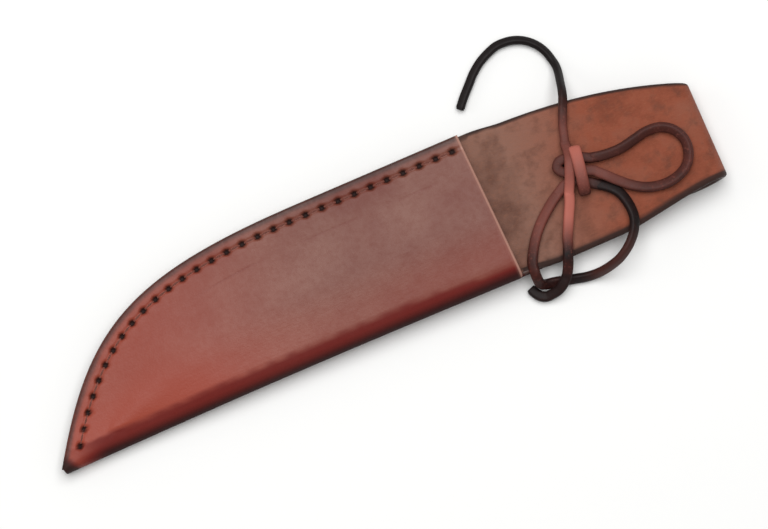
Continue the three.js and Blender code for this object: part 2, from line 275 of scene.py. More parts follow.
def fleshLeather():
    material, tree, shader = newMaterial("fleshLeather", Sheen_Weight=0.04, Specular_IOR_Level=0.3)
    shader.inputs["Sheen Roughness"].default_value = 0.5
    place = objectPlace(tree)
    blotches = noiseAt(tree, place, 55, 5, 0.6)
    patches = noiseAt(tree, place, 160, 4, 0.6)
    fibres = noiseAt(tree, objectPlace(tree, (500, 1400, 1000), (0, 0, 0.5)), 1.0, 6, 0.75)
    along = addNode(tree, "SeparateXYZ", {"Vector": place}).outputs["X"]
    # painted shading: the flap warmer towards its belt-loop end, from how the light falls on its rise
    warmShading = spread(tree, along, 0.066, 0.098)
    warmShading = maths(tree, "MULTIPLY", warmShading, spread(tree, blotches, 0.3, 0.6, 0.6, 1.0))
    colour = mixColour(tree, warmShading, finish["flesh"], finish["fleshWarmShading"])
    colour = mixColour(tree, spread(tree, blotches, 0.48, 0.72, 0, 0.8), colour, finish["fleshDark"])
    colour = mixColour(tree, spread(tree, patches, 0.52, 0.75, 0, 0.6), colour, finish["fleshDark"])
    colour = mixColour(tree, spread(tree, fibres, 0.50, 0.72, 0, 0.35), colour, finish["fleshPale"])
    # dyed edges, with painted shade widening the flap's lower edge
    colour = mixColour(tree, attribute(tree, "edgeDyeAndShade"), colour, finish["edge"])
    tree.links.new(colour, shader.inputs["Base Color"])
    tree.links.new(spread(tree, fibres, 0.3, 0.7, 0.68, 0.9), shader.inputs["Roughness"])
    relief = bump(tree, fibres, 0.00035, 0.8)
    relief = bump(tree, patches, 0.00040, 0.5, relief)
    tree.links.new(relief, shader.inputs["Normal"])
    return material


def dyedEdge():
    material, tree, shader = newMaterial("dyedEdge", Coat_Weight=0.2, Coat_Roughness=0.35)
    layers = noiseAt(tree, objectPlace(tree, (90, 90, 2600)), 1.0, 4)
    colour = mixColour(tree, spread(tree, layers, 0.4, 0.7), finish["edge"], finish["edgeWorn"])
    tree.links.new(colour, shader.inputs["Base Color"])
    tree.links.new(spread(tree, layers, 0.3, 0.7, 0.42, 0.6), shader.inputs["Roughness"])
    tree.links.new(bump(tree, layers, 0.0002, 0.6), shader.inputs["Normal"])
    return material


def waxedThread():
    material, tree, shader = newMaterial("waxedThread", Coat_Weight=0.15, Coat_Roughness=0.4)
    strands = addNode(tree, "TexCoord", {}).outputs["UV"]
    turned = addNode(tree, "Mapping", {"Vector": strands, "Scale": (1, 1, 1), "Rotation": (0, 0, 0.6)})
    twist = addNode(tree, "TexWave", {"Vector": turned.outputs["Vector"], "Scale": 6.0, "Distortion": 0.6})
    colour = mixColour(tree, twist.outputs["Fac"], finish["threadDark"], finish["thread"])
    tree.links.new(colour, shader.inputs["Base Color"])
    tree.links.new(spread(tree, twist.outputs["Fac"], 0, 1, 0.65, 0.5), shader.inputs["Roughness"])
    tree.links.new(bump(tree, twist.outputs["Fac"], 0.00012, 0.8), shader.inputs["Normal"])
    return material


def laceLeather():
    material, tree, shader = newMaterial(
        "laceLeather", Coat_Weight=0.04, Coat_Roughness=0.45, Specular_IOR_Level=0.2
    )
    place = objectPlace(tree)
    cloudy = noiseAt(tree, place, 110, 4)
    fine = noiseAt(tree, place, 900, 5, 0.7)
    colour = mixColour(tree, spread(tree, cloudy, 0.35, 0.7), finish["lace"], finish["laceDarkAndShade"])
    colour = mixColour(tree, spread(tree, fine, 0.55, 0.75, 0, 0.4), colour, finish["laceWearAndHighlight"])
    # painted shade on laces standing on edge or out in the air
    colour = mixColour(tree, attribute(tree, "laceShadeTone"), colour, finish["laceDarkAndShade"])
    # painted highlight where the lace lies flat to the light
    colour = mixColour(tree, attribute(tree, "laceHighlightTone"), colour, finish["laceWearAndHighlight"])
    tree.links.new(colour, shader.inputs["Base Color"])
    tree.links.new(spread(tree, fine, 0.3, 0.7, 0.5, 0.68), shader.inputs["Roughness"])
    relief = bump(tree, fine, 0.00015, 0.6)
    tree.links.new(bump(tree, cloudy, 0.0003, 0.4, relief), shader.inputs["Normal"])
    return material


materials = (grainLeather(), fleshLeather(), dyedEdge(), waxedThread(), laceLeather())
finishes = {material.name: material for material in materials}
print("finishes")


# Small tools for shaping

def smoothStep(low, high, value):
    share = min(1.0, max(0.0, (value - low) / (high - low)))
    return share * share * (3 - 2 * share)


def lerp(first, second, share):
    return first + (second - first) * share


def curvePath(route, step):
    knots = [Vector(point) for point in route]
    padded = [2 * knots[0] - knots[1], *knots, 2 * knots[-1] - knots[-2]]
    path = []
    for index in range(len(knots) - 1):
        before, start, end, after = padded[index:index + 4]
        count = max(2, round((end - start).length / step))
        for part in range(count):
            t = part / count
            curve = 2 * start + (end - before) * t
            curve += (2 * before - 5 * start + 4 * end - after) * t ** 2
            curve += (3 * start - before - 3 * end + after) * t ** 3
            path.append(curve / 2)
    path.append(knots[-1])
    return path


def pathLength(path):
    return sum((after - before).length for before, after in zip(path, path[1:]))


def roundedStrip(sides, width, thick, square):
    corners = []
    for index in range(sides):
        angle = 2 * math.pi * (index + 0.5) / sides
        across = math.copysign(abs(math.cos(angle)) ** square, math.cos(angle))
        over = math.copysign(abs(math.sin(angle)) ** square, math.sin(angle))
        corners.append((across * width / 2, over * thick / 2))
    return corners


def addStrand(name, path, section, roll=None, hint=None, ends=0.8, material="laceLeather"):
    verts = []
    last = len(path) - 1
    for index, place in enumerate(path):
        tangent = (path[min(index + 1, last)] - path[max(index - 1, 0)]).normalized()
        side = (hint or upward.cross(tangent)).copy()
        side = (side - side.dot(tangent) * tangent).normalized()
        over = tangent.cross(side)
        angle = roll(index / last) if roll else 0.0
        size = ends if index in (0, last) else 1.0
        for across, up in section:
            x = size * (across * math.cos(angle) - up * math.sin(angle))
            y = size * (across * math.sin(angle) + up * math.cos(angle))
            corner = place + side * x + over * y
            corner.z = max(corner.z, studio["lowest"])
            verts.append(corner)
    sides = len(section)
    faces = []
    for ring in range(last):
        for corner in range(sides):
            beside = (corner + 1) % sides
            base = ring * sides
            faces.append((base + corner, base + beside, base + sides + beside, base + sides + corner))
    faces.append(tuple(reversed(range(sides))))
    faces.append(tuple(last * sides + corner for corner in range(sides)))
    mesh = bpy.data.meshes.new(name)
    mesh.from_pydata(verts, [], faces)
    strand = bpy.data.objects.new(name, mesh)
    bpy.context.scene.collection.objects.link(strand)
    layer = mesh.uv_layers.new(name="alongLace")
    width = 2 * max(abs(across) for across, _ in section)
    run = pathLength(path) / width
    for polygon in mesh.polygons:
        for loop in polygon.loop_indices:
            vert = mesh.loops[loop].vertex_index
            layer.data[loop].uv = (run * (vert // sides) / last, (vert % sides) / sides)
    mesh.materials.append(finishes[material])
    return strand


def writeLayer(mesh, name, values):
    mesh.attributes.new(name, "FLOAT", "POINT").data.foreach_set("value", values)


def readLayer(mesh, name):
    return [item.value for item in mesh.attributes[name].data]


def paintAlong(strand, sides, name, tone):
    total = len(strand.data.vertices)
    shares = [(index // sides) * sides / (total - sides) for index in range(total)]
    writeLayer(strand.data, name, [tone(share) for share in shares])


def pick(*things):
    bpy.ops.object.select_all(action="DESELECT")
    for thing in things:
        thing.select_set(True)
    bpy.context.view_layer.objects.active = things[0]


def smoothShade(thing, degrees):
    pick(thing)
    bpy.ops.object.shade_smooth_by_angle(angle=math.radians(degrees))


def joinAs(name, things):
    pick(*things)
    if len(things) > 1:
        bpy.ops.object.join()
    made = bpy.context.object
    made.name = name
    made.data.name = name
    return made


# The thong's free runs

lace = {
    "thick": 0.0027,
    "square": 0.62,
    "sides": 16,
    "step": 0.0009,
}

bowLoopRight = {
    "route": [
        (0.0950, 0.0020, 0.0135), (0.0990, 0.0010, 0.0140), (0.1030, 0.0005, 0.0145),
        (0.1080, 0.0005, 0.0150), (0.1135, 0.0015, 0.0155), (0.1190, 0.0025, 0.0160),
        (0.1245, 0.0020, 0.0165), (0.1290, -0.0010, 0.0170), (0.1315, -0.0060, 0.0170),
        (0.1310, -0.0115, 0.0170), (0.1280, -0.0160, 0.0170), (0.1230, -0.0185, 0.0165),
        (0.1170, -0.0190, 0.0155), (0.1110, -0.0175, 0.0150), (0.1060, -0.0145, 0.0145),
        (0.1020, -0.0110, 0.0150), (0.0980, -0.0070, 0.0160), (0.0945, -0.0035, 0.0160),
    ],
    "length": 0.092,
    "farEnd": "object",
    "width": 0.0040,
    "roll": lambda t: 0.2 + 0.35 * math.sin(math.pi * t) + 0.25 * math.sin(5 * t),
    # painted shade along this run
    "shadeShare": lambda t: 0.35 + 0.25 * math.sin(9 * t),
    # painted highlight along this run
    "wearAndHighlight": lambda t: 0.08 + 0.18 * smoothStep(0.75, 0.95, t),
}

bowLoopLower = {
    "route": [
        (0.0790, -0.0055, 0.0120), (0.0750, -0.0080, 0.0115), (0.0710, -0.0110, 0.0110),
        (0.0670, -0.0145, 0.0105), (0.0635, -0.0185, 0.0105), (0.0605, -0.0230, 0.0100),
        (0.0585, -0.0270, 0.0100), (0.0580, -0.0305, 0.0100), (0.0580, -0.0330, 0.0085),
        (0.0585, -0.0350, 0.0055), (0.0605, -0.0360, 0.0030), (0.0640, -0.0365, 0.0020),
        (0.0680, -0.0375, 0.0020), (0.0720, -0.0385, 0.0020), (0.0760, -0.0395, 0.0025),
        (0.0800, -0.0400, 0.0035), (0.0835, -0.0400, 0.0060), (0.0870, -0.0395, 0.0090),
        (0.0905, -0.0385, 0.0120), (0.0940, -0.0365, 0.0140), (0.0970, -0.0340, 0.0145),
        (0.0995, -0.0310, 0.0145), (0.1015, -0.0270, 0.0145), (0.1020, -0.0230, 0.0145),
        (0.1015, -0.0185, 0.0140), (0.1000, -0.0145, 0.0140), (0.0970, -0.0110, 0.0135),
        (0.0935, -0.0085, 0.0135),
    ],
    "length": 0.117,
    "farEnd": "object",
    "width": 0.0041,
    "roll": lambda t: 0.35 + 0.35 * math.sin(math.pi * t) - 0.3 * math.sin(7 * t),
    # painted shade along this run
    "shadeShare": lambda t: 0.25 + 0.6 * smoothStep(0.30, 0.5, t),
    # painted highlight along this run
    "wearAndHighlight": lambda t: (
        0.28 * smoothStep(0.30, 0.12, t) + 0.1 * smoothStep(0.5, 0.6, t) * smoothStep(0.8, 0.7, t)
    ),
}

thongTailUpper = {
    "route": [
        (0.0885, 0.0105, 0.0130), (0.0895, 0.0140, 0.0130), (0.0905, 0.0175, 0.0130),
        (0.0920, 0.0210, 0.0135), (0.0935, 0.0245, 0.0135), (0.0950, 0.0280, 0.0140),
        (0.0960, 0.0310, 0.0125), (0.0970, 0.0345, 0.0090), (0.0980, 0.0380, 0.0055),
        (0.0985, 0.0415, 0.0030), (0.0980, 0.0450, 0.0020), (0.0970, 0.0485, 0.0020),
        (0.0950, 0.0520, 0.0020), (0.0920, 0.0550, 0.0020), (0.0885, 0.0570, 0.0020),
        (0.0845, 0.0580, 0.0020), (0.0800, 0.0580, 0.0020), (0.0755, 0.0565, 0.0020),
        (0.0715, 0.0545, 0.0020), (0.0675, 0.0515, 0.0020), (0.0640, 0.0480, 0.0020),
        (0.0605, 0.0445, 0.0020), (0.0570, 0.0405, 0.0020),
    ],
    "length": 0.095,
    "farEnd": "bare",
    "width": 0.0034,
    "roll": lambda t: 0.9 * smoothStep(0.05, 0.3, t) - 0.5 * smoothStep(0.4, 0.8, t),
    # painted shade along this run
    "shadeShare": lambda t: 0.3 + 0.7 * smoothStep(0.12, 0.26, t),
    # painted highlight along this run
    "wearAndHighlight": lambda t: 0.22 * smoothStep(0.22, 0.05, t),
}

thongTailLower = {
    "route": [
        (0.0825, -0.0070, 0.0140), (0.0810, -0.0110, 0.0130), (0.0790, -0.0150, 0.0120),
        (0.0770, -0.0190, 0.0120), (0.0750, -0.0230, 0.0120), (0.0735, -0.0270, 0.0120),
        (0.0720, -0.0305, 0.0115), (0.0710, -0.0330, 0.0100), (0.0700, -0.0350, 0.0085),
        (0.0690, -0.0365, 0.0070), (0.0670, -0.0385, 0.0060), (0.0645, -0.0400, 0.0045),
        (0.0615, -0.0405, 0.0030), (0.0590, -0.0405, 0.0020), (0.0570, -0.0395, 0.0020),
        (0.0555, -0.0375, 0.0020), (0.0545, -0.0350, 0.0020),
    ],
    "length": 0.054,
    "farEnd": "bare",
    "width": 0.0041,
    "roll": lambda t: -0.15 + 0.3 * smoothStep(0.5, 0.8, t),
    # painted shade along this run
    "shadeShare": lambda t: 0.85 * smoothStep(0.50, 0.64, t),
    # painted highlight along this run
    "wearAndHighlight": lambda t: 0.95 * smoothStep(0.46, 0.12, t),
}


def tieToFlap(piece, node):
    smoothShade(piece, 50)
    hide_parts(node)
    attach(piece, "flap")


def layRun(name, node, run):
    section = roundedStrip(lace["sides"], run["width"], lace["thick"], lace["square"])
    path = curvePath(run["route"], lace["step"])
    strand = addStrand(name, path, section, roll=run["roll"])
    # painted shade along the run
    paintAlong(strand, lace["sides"], "laceShadeTone", run["shadeShare"])
    # painted highlight along the run
    paintAlong(strand, lace["sides"], "laceHighlightTone", run["wearAndHighlight"])
    tieToFlap(strand, node)
    print(name, round(pathLength(path), 4))


layRun("bowLoopRight", "bow_loop_right", bowLoopRight)
layRun("bowLoopLower", "bow_loop_lower", bowLoopLower)
layRun("thongTailUpper", "thong_tail_upper", thongTailUpper)
layRun("thongTailLower", "thong_tail_lower", thongTailLower)


# The bow's knot, and the thong behind the flap

bowKnot = {
    "width": 0.0040,
    "thick": 0.0026,
    "step": 0.0006,
    "wrapSteps": 64,
    "strands": {
        "rightLoop": [
            (0.0968, 0.0015, 0.0138), (0.0950, 0.0020, 0.0136), (0.0915, 0.0038, 0.0136),
            (0.0868, 0.0054, 0.0134), (0.0834, 0.0052, 0.0132), (0.0820, 0.0030, 0.0130),
            (0.0838, 0.0005, 0.0138), (0.0876, -0.0012, 0.0150), (0.0915, -0.0022, 0.0158),
            (0.0945, -0.0035, 0.0160), (0.0960, -0.0050, 0.0160),
        ],
        "lowerLoop": [
            (0.0774, -0.0064, 0.0118), (0.0790, -0.0055, 0.0120), (0.0830, -0.0036, 0.0125),
            (0.0876, -0.0040, 0.0126), (0.0908, -0.0064, 0.0131), (0.0935, -0.0085, 0.0135),
            (0.0950, -0.0096, 0.0135),
        ],
        "tails": [
            (0.0889, 0.0120, 0.0130), (0.0885, 0.0105, 0.0131), (0.0882, 0.0070, 0.0146),
            (0.0872, 0.0038, 0.0160), (0.0857, 0.0002, 0.0162), (0.0842, -0.0035, 0.0152),
            (0.0825, -0.0070, 0.0140), (0.0818, -0.0086, 0.0136),
        ],
    },
    "wrapTop": (0.0910, 0.0074, 0.0150),
    "wrapFoot": (0.0880, -0.0098, 0.0142),
    "wrapCrown": 0.0180,
    "wrapUnder": 0.0118,
    "wrapWidth": 0.0047,
    # painted highlight on each knot strand
    "wearAndHighlight": {
        "rightLoop": (0.08, 0.26), "lowerLoop": (0.28, 0.0),
        "tails": (0.22, 0.95), "wrap": (0.95, 0.95),
    },
    # painted shade on each knot strand
    "shadeShare": {"rightLoop": (0.35, 0.45), "lowerLoop": (0.25, 0.85), "tails": (0.3, 0.0), "wrap": (0.0, 0.0)},
}


def wrapPath(steps):
    top = Vector(bowKnot["wrapTop"])
    foot = Vector(bowKnot["wrapFoot"])
    middle = (top + foot) / 2
    half = (top - foot) / 2
    reach = Vector((half.x, half.y, 0))
    path = []
    for index in range(steps + 1):
        angle = 2 * math.pi * index / steps - math.pi / 2
        height = bowKnot["wrapCrown"] if math.sin(angle) > 0 else bowKnot["wrapUnder"]
        rise = (height - middle.z) * abs(math.sin(angle))
        path.append(Vector((middle.x, middle.y, middle.z + rise)) + reach * math.cos(angle))
    return path, upward.cross(reach).normalized()


# painted highlight rising and falling around the knot's wrap
def knotHighlight(t):
    return 0.55 + 0.45 * math.sin(2 * math.pi * t)


def tieKnot():
    sides = lace["sides"]
    strands = []
    section = roundedStrip(sides, bowKnot["width"], bowKnot["thick"], lace["square"])
    for name, route in bowKnot["strands"].items():
        strand = addStrand(name, curvePath(route, bowKnot["step"]), section)
        strands.append((name, strand))
    around, across = wrapPath(bowKnot["wrapSteps"])
    wide = roundedStrip(sides, bowKnot["wrapWidth"], bowKnot["thick"], lace["square"])
    strands.append(("wrap", addStrand("wrap", around, wide, hint=across, ends=1.0)))
    for name, strand in strands:
        # painted shade for the strand
        shadeShare = bowKnot["shadeShare"][name]
        # painted highlight for the strand, varied around the wrap
        wearAndHighlight = bowKnot["wearAndHighlight"][name]
        glint = knotHighlight if name == "wrap" else lambda t: 1.0
        paintAlong(strand, sides, "laceShadeTone", lambda t: lerp(*shadeShare, t))
        paintAlong(strand, sides, "laceHighlightTone", lambda t: lerp(*wearAndHighlight, t ** 2) * glint(t))
    knot = joinAs("bowKnot", [strand for _, strand in strands])
    tieToFlap(knot, "bow_knot")


thongBridge = {
    "route": [
        (0.0847, 0.0046, 0.0120), (0.0847, 0.0046, 0.0092), (0.0849, 0.0044, 0.0069),
        (0.0861, 0.0032, 0.0054), (0.0877, 0.0017, 0.0052), (0.0893, 0.0002, 0.0054),
        (0.0905, -0.0010, 0.0071), (0.0907, -0.0012, 0.0096), (0.0907, -0.0012, 0.0120),
    ],
    "width": 0.0034,
    "thick": 0.0024,
}


def threadBridge():
    section = roundedStrip(lace["sides"], thongBridge["width"], thongBridge["thick"], lace["square"])
    across = Vector((1, 1, 0)).normalized()
    path = curvePath(thongBridge["route"], bowKnot["step"])
    bridge = addStrand("thongBridge", path, section, hint=across)
    # painted shade on the thong beneath the knot
    paintAlong(bridge, lace["sides"], "laceShadeTone", lambda t: 0.6)
    paintAlong(bridge, lace["sides"], "laceHighlightTone", lambda t: 0.0)
    tieToFlap(bridge, "thong_bridge")


tieKnot()
threadBridge()
print("thong")


# The sheath's own measures

sheath = {
    "leather": 0.003,
    "stack": 0.0116,
    "tipStack": 0.0088,
    "taperRun": 0.085,      # along the seam, from the tip
    "tipPull": (0.0302, 0.0178),
    "topPull": (0.053, 0.0305),
    "curveEnd": 0.125,
    "mouthAtSeam": 0.1938,
    "mouthAtFold": 0.1958,
    "backEnd": 0.1969,
    "tabStart": 0.1505,
    "tabDrop": 0.0033,
    "crown": 0.0009,
    "foldBow": 0.0009,
}

stitches = {
    "inset": 0.0054,
    "start": 0.013,
    "end": 0.0045,
    "count": 30,
    "grooveHalf": 0.0013,
    "grooveDepth": 0.00028,
    "holeLong": 0.00155,
    "holeHalf": 0.00135,
    "holeDepth": 0.0014,
    "creaseInset": 0.0146,
    "creaseHalf": 0.0006,
    "creaseDepth": 0.00012,
}

foldEdge = sheathLow.y
seamEdge = sheathHigh.y
halfLength = -sheathLow.x
lean = math.atan(sheath["tabDrop"] / sheath["tabStart"])
pocketX = sheath["stack"] / 2 * math.sin(lean) - halfLength
midFold = (sheath["stack"] - sheath["leather"]) / 2   # the fold's radius in the middle of the leather


def fromPocket(x, y, z):
    return Vector((
        pocketX + x * math.cos(lean) - z * math.sin(lean),
        y,
        x * math.sin(lean) + z * math.cos(lean),
    ))


def seamPoints(count=500):
    pulls = [(0, foldEdge), sheath["tipPull"], sheath["topPull"], (sheath["curveEnd"], seamEdge)]
    points = []
    for index in range(count + 1):
        t = index / count
        weights = ((1 - t) ** 3, 3 * t * (1 - t) ** 2, 3 * t * t * (1 - t), t ** 3)
        points.append(Vector([sum(w * pull[axis] for w, pull in zip(weights, pulls)) for axis in (0, 1)]))
    points.append(Vector((sheath["mouthAtSeam"], seamEdge)))
    return points


seamLine = seamPoints()
seamRun = [0.0]
for before, after in zip(seamLine, seamLine[1:]):
    seamRun.append(seamRun[-1] + (after - before).length)
seamLength = seamRun[-1]
stitchStep = (seamLength - stitches["start"] - stitches["end"]) / (stitches["count"] - 1)


def seamAt(run):
    index = min(max(bisect.bisect_right(seamRun, run) - 1, 0), len(seamLine) - 2)
    share = (run - seamRun[index]) / (seamRun[index + 1] - seamRun[index])
    place = seamLine[index].lerp(seamLine[index + 1], share)
    before = seamLine[max(index - 1, 0)]
    after = seamLine[min(index + 2, len(seamLine) - 1)]
    if index >= len(seamLine) - 2:
        before = seamLine[index]
    along = (after - before).normalized()
    return place, Vector((along.y, -along.x))


def stackAt(run):
    return lerp(sheath["tipStack"], sheath["stack"], smoothStep(0, sheath["taperRun"], run))


def foldLine(x):
    share = min(1.0, max(0.0, x / sheath["mouthAtFold"]))
    return foldEdge + sheath["foldBow"] * math.sin(math.pi * share)


def inwardReach(place, inward):
    straight = (place.y - foldEdge) / max(-inward.y, 0.05)
    edge = foldLine(place.x + inward.x * straight)
    return (place.y - edge - sheath["leather"] / 2) / max(-inward.y, 0.05)


def seamGroove(fromEdge, run):
    middle = stitches["inset"]
    within = smoothStep(stitches["grooveHalf"], 0.3 * stitches["grooveHalf"], abs(fromEdge - middle))
    length = smoothStep(stitches["start"] - 0.003, stitches["start"], run)
    return within * length


def stitchHole(fromEdge, run):
    index = round((run - stitches["start"]) / stitchStep)
    if not 0 <= index < stitches["count"]:
        return 0.0
    along = (run - stitches["start"] - index * stitchStep) / stitches["holeLong"]
    across = (fromEdge - stitches["inset"]) / stitches["holeHalf"]
    return smoothStep(1.15, 0.6, math.hypot(along, across))


print("seam", round(seamLength, 4), "stitch step", round(stitchStep, 5))


# The body leather: pocket, fold, flap and belt loop in one sheet

bodyLeather = {
    "nearSeam": [0, 0.25, 0.6, 1.1, 1.9, 2.8, 3.6, 4.2, 4.6, 4.9, 5.15, 5.4, 5.65, 5.9, 6.2, 6.6, 7.3, 8.4,
                 10, 11.8, 13.2, 13.8, 14.2, 14.6, 15.0, 15.4, 16.2, 18],   # thousandths of a metre
    "firstRun": 0.0025,     # nearer the tip there is no room for the fold
    "fullWidth": 0.024,
    "acrossSteps": 18,
    "foldSteps": 16,
    "foldReach": 0.0072,
    "stationsPerStitch": 8,
    "rimStations": [0.0011, 0.0006, 0.00025, 0],
    "rimThin": 0.30,
    "rimRound": 0.0013,
    "flapStep": 0.0013,
    "turnStep": 0.0009,
    "weld": 0.00002,
    "curlRun": 0.015,
    "endFold": 0.0075,
    "flatFrom": 0.078,
    "flapSpan": (0.0545, 0.1425),
    "narrowsFrom": 0.095,
    "flapLow": -0.0253,
    "flapHigh": (0.0294, 0.0292, 0.0259, 0.0136),
    "turnBlend": 0.009,
    "strapLow": -0.026,
    "strapHigh": 0.0145,
    "tabLow": -0.023,
    "tabHigh": 0.013,
    "tabCorner": 0.006,
    "tabEnd": 0.1939,
    "bendStart": 0.0534,
    "bendEnd": 0.0625,
}


def flatDistances(flat):
    share = min(1.0, flat / bodyLeather["fullWidth"])
    near = [distance * 0.001 * share for distance in bodyLeather["nearSeam"]]
    steps = bodyLeather["acrossSteps"]
    return near + [lerp(near[-1], flat, step / steps) for step in range(1, steps + 1)]


def pocketSection(run):
    place, inward = seamAt(run)
    reach = inwardReach(place, inward)
    rounding = min(bodyLeather["foldReach"] / max(-inward.y, 0.05), 0.45 * reach)
    flat = reach - rounding
    depth = stackAt(run) - sheath["leather"]
    low = sheath["leather"] / 2
    mouthGap = seamLength - run
    rows = []
    distances = flatDistances(flat)
    for distance in distances:
        rise = smoothStep(0.014, max(flat, 0.0141) + 0.004, distance)
        swell = math.sin(math.pi * rise) * min(1, flat / 0.03)
        rows.append((distance, low + depth + sheath["crown"] * swell, distance, min(distance, mouthGap), 1))
    steps = bodyLeather["foldSteps"]
    for step in range(1, steps):
        angle = math.pi * step / steps
        out = flat + rounding * math.sin(angle)
        edge = math.hypot(mouthGap, max(0.0, angle - math.pi / 2) * midFold)
        height = low + depth / 2 * (1 + math.cos(angle))
        rows.append((out, height, out, edge, 1 if angle < math.pi / 2 else -1))
    for distance in reversed(distances):
        rows.append((distance, low, distance, min(distance, 0.01 + mouthGap), -1))
    spots = []
    for out, height, fromEdge, edge, face in rows:
        spots.append((place + inward * out, height, fromEdge, edge, face))
    return spots


def endShift(spot, face, height, run):
    near = smoothStep(seamLength - 0.020, seamLength, run)
    front = lerp(sheath["mouthAtSeam"], sheath["mouthAtFold"], (seamEdge - spot.y) / (seamEdge - foldEdge))
    if face > 0:
        return near * (front - sheath["mouthAtSeam"])
    rest = smoothStep(sheath["stack"] / 2, sheath["leather"] / 2, height)
    return near * (lerp(front, sheath["backEnd"], rest) - sheath["mouthAtSeam"])


def stationRuns():
    step = stitchStep / bodyLeather["stationsPerStitch"]
    end = seamLength - bodyLeather["rimStations"][0]
    runs = []
    run = stitches["start"]
    while run > bodyLeather["firstRun"]:
        run -= step
    while run < end - 0.4 * step:
        if run > bodyLeather["firstRun"]:
            runs.append(run)
        run += step
    return runs + [seamLength - gap for gap in bodyLeather["rimStations"]]


def rimWeight(edge):
    share = min(1.0, max(0.0, edge / bodyLeather["rimRound"]))
    return bodyLeather["rimThin"] + (1 - bodyLeather["rimThin"]) * math.sqrt(1 - (1 - share) ** 2)


def gridOf(name, table):
    lengthwise = len(table)
    crosswise = len(table[0])
    bpy.ops.mesh.primitive_grid_add(x_subdivisions=lengthwise - 1, y_subdivisions=crosswise - 1, size=1)
    grid = bpy.context.object
    grid.name = name
    mesh = grid.data
    values = {"alongSeam": [], "fromSeam": [], "rimGap": [], "face": []}
    group = grid.vertex_groups.new(name="rim")
    for vert in mesh.vertices:
        i = round((vert.co.x + 0.5) * (lengthwise - 1))
        j = round((vert.co.y + 0.5) * (crosswise - 1))
        spot, run, fromEdge, edge, face = table[i][j]
        vert.co = spot
        for key, value in zip(values, (run, fromEdge, edge, face)):
            values[key].append(value)
        group.add([vert.index], rimWeight(edge), "REPLACE")
    for key, column in values.items():
        writeLayer(mesh, key, column)
    return grid


def pocketTable():
    table = []
    for run in stationRuns():
        column = []
        for spot, height, fromEdge, edge, face in pocketSection(run):
            x = spot.x + endShift(spot, face, height, run)
            column.append((fromPocket(x, spot.y, height), run, fromEdge, edge, face))
        table.append(column)
    return table


def flapRoute():
    start = fromPocket(sheath["backEnd"], 0, sheath["leather"] / 2)
    radius = bodyLeather["endFold"] - sheath["leather"] / 2
    centre = Vector((flapEnd - bodyLeather["endFold"], 0, bodyLeather["endFold"]))
    toCentre = centre - start
    rise = math.atan2(toCentre.z, toCentre.x) + math.asin(radius / math.hypot(toCentre.x, toCentre.z))
    tangent = centre + Vector((-math.sin(rise), 0, math.cos(rise))) * radius
    arc = []
    turns = 18
    for index in range(1, turns + 1):
        angle = math.pi / 2 + rise - (math.pi + rise) * index / turns
        arc.append(centre + Vector((math.cos(angle), 0, math.sin(angle))) * radius)
    flat = Vector((bodyLeather["flatFrom"], 0, sheath["leather"] / 2))
    under = sheath["leather"] / 2 - sheath["tabDrop"]
    tab = fromPocket(bodyLeather["tabEnd"], 0, under)
    end = fromPocket(sheath["tabStart"], 0, under)
    corners = [start, tangent, *arc, flat, tab, end]
    run = [0.0]
    for before, after in zip(corners, corners[1:]):
        run.append(run[-1] + (after - before).length)
    return corners, run, run[1], run[1 + turns]


flapCorners, flapRun, flapTopEnd, flapTurnEnd = flapRoute()
flapLength = flapRun[-1]


def flapSpot(run):
    index = min(max(bisect.bisect_right(flapRun, run) - 1, 0), len(flapRun) - 2)
    share = (run - flapRun[index]) / (flapRun[index + 1] - flapRun[index])
    along = (flapCorners[index + 1] - flapCorners[index]).normalized()
    return flapCorners[index].lerp(flapCorners[index + 1], share), Vector((-along.z, 0, along.x))


def cubic(a, b, c, d, t):
    return a * (1 - t) ** 3 + 3 * b * t * (1 - t) ** 2 + 3 * c * t * t * (1 - t) + d * t ** 3


def sideLimits(run):
    blendRun = bodyLeather["turnBlend"]
    flapLow = bodyLeather["flapLow"]
    flapHigh = bodyLeather["flapHigh"]
    begin, finishAt = bodyLeather["flapSpan"]
    place = flapSpot(min(run, flapTopEnd + blendRun))[0].x
    if run <= flapTurnEnd - blendRun:
        lowShare = smoothStep(bodyLeather["narrowsFrom"], finishAt, place)
        t = min(1.0, max(0.0, (place - begin) / (finishAt - begin)))
        return lerp(foldEdge, flapLow, lowShare ** 0.8), cubic(*flapHigh, t)
    share = smoothStep(flapTurnEnd - blendRun, flapTurnEnd + 0.004, run)
    toTab = smoothStep(flapTurnEnd, flapLength - 0.040, run)
    low = lerp(flapLow, lerp(bodyLeather["strapLow"], bodyLeather["tabLow"], toTab), share)
    high = lerp(flapHigh[-1], lerp(bodyLeather["strapHigh"], bodyLeather["tabHigh"], toTab), share)
    left = flapLength - run
    corner = bodyLeather["tabCorner"]
    if left < corner:
        pull = corner - math.sqrt(max(0.0, corner ** 2 - (corner - left) ** 2))
        low += pull
        high -= pull
    return low, high


def flapRuns():
    runs = [0.0]
    while runs[-1] < flapLength - 0.0016:
        turning = flapTopEnd - 0.002 < runs[-1] < flapTurnEnd + 0.002
        runs.append(runs[-1] + (bodyLeather["turnStep"] if turning else bodyLeather["flapStep"]))
    return runs + [flapLength - gap for gap in bodyLeather["rimStations"]]


def waviness(x, y, run):
    broad = 0.0007 * noise.noise(Vector((x * 22, y * 26, 3.1)))
    creased = noise.noise(Vector((x * 90 + y * 70, y * 18 - x * 14, 8.4)))
    near = smoothStep(0.036, 0.010, run) * smoothStep(0.0, 0.006, run)
    settle = smoothStep(0.002, 0.015, run) * smoothStep(flapTopEnd, flapTopEnd - 0.02, run)
    return broad * settle + 0.0009 * near * creased * smoothStep(0.012, -0.004, y)


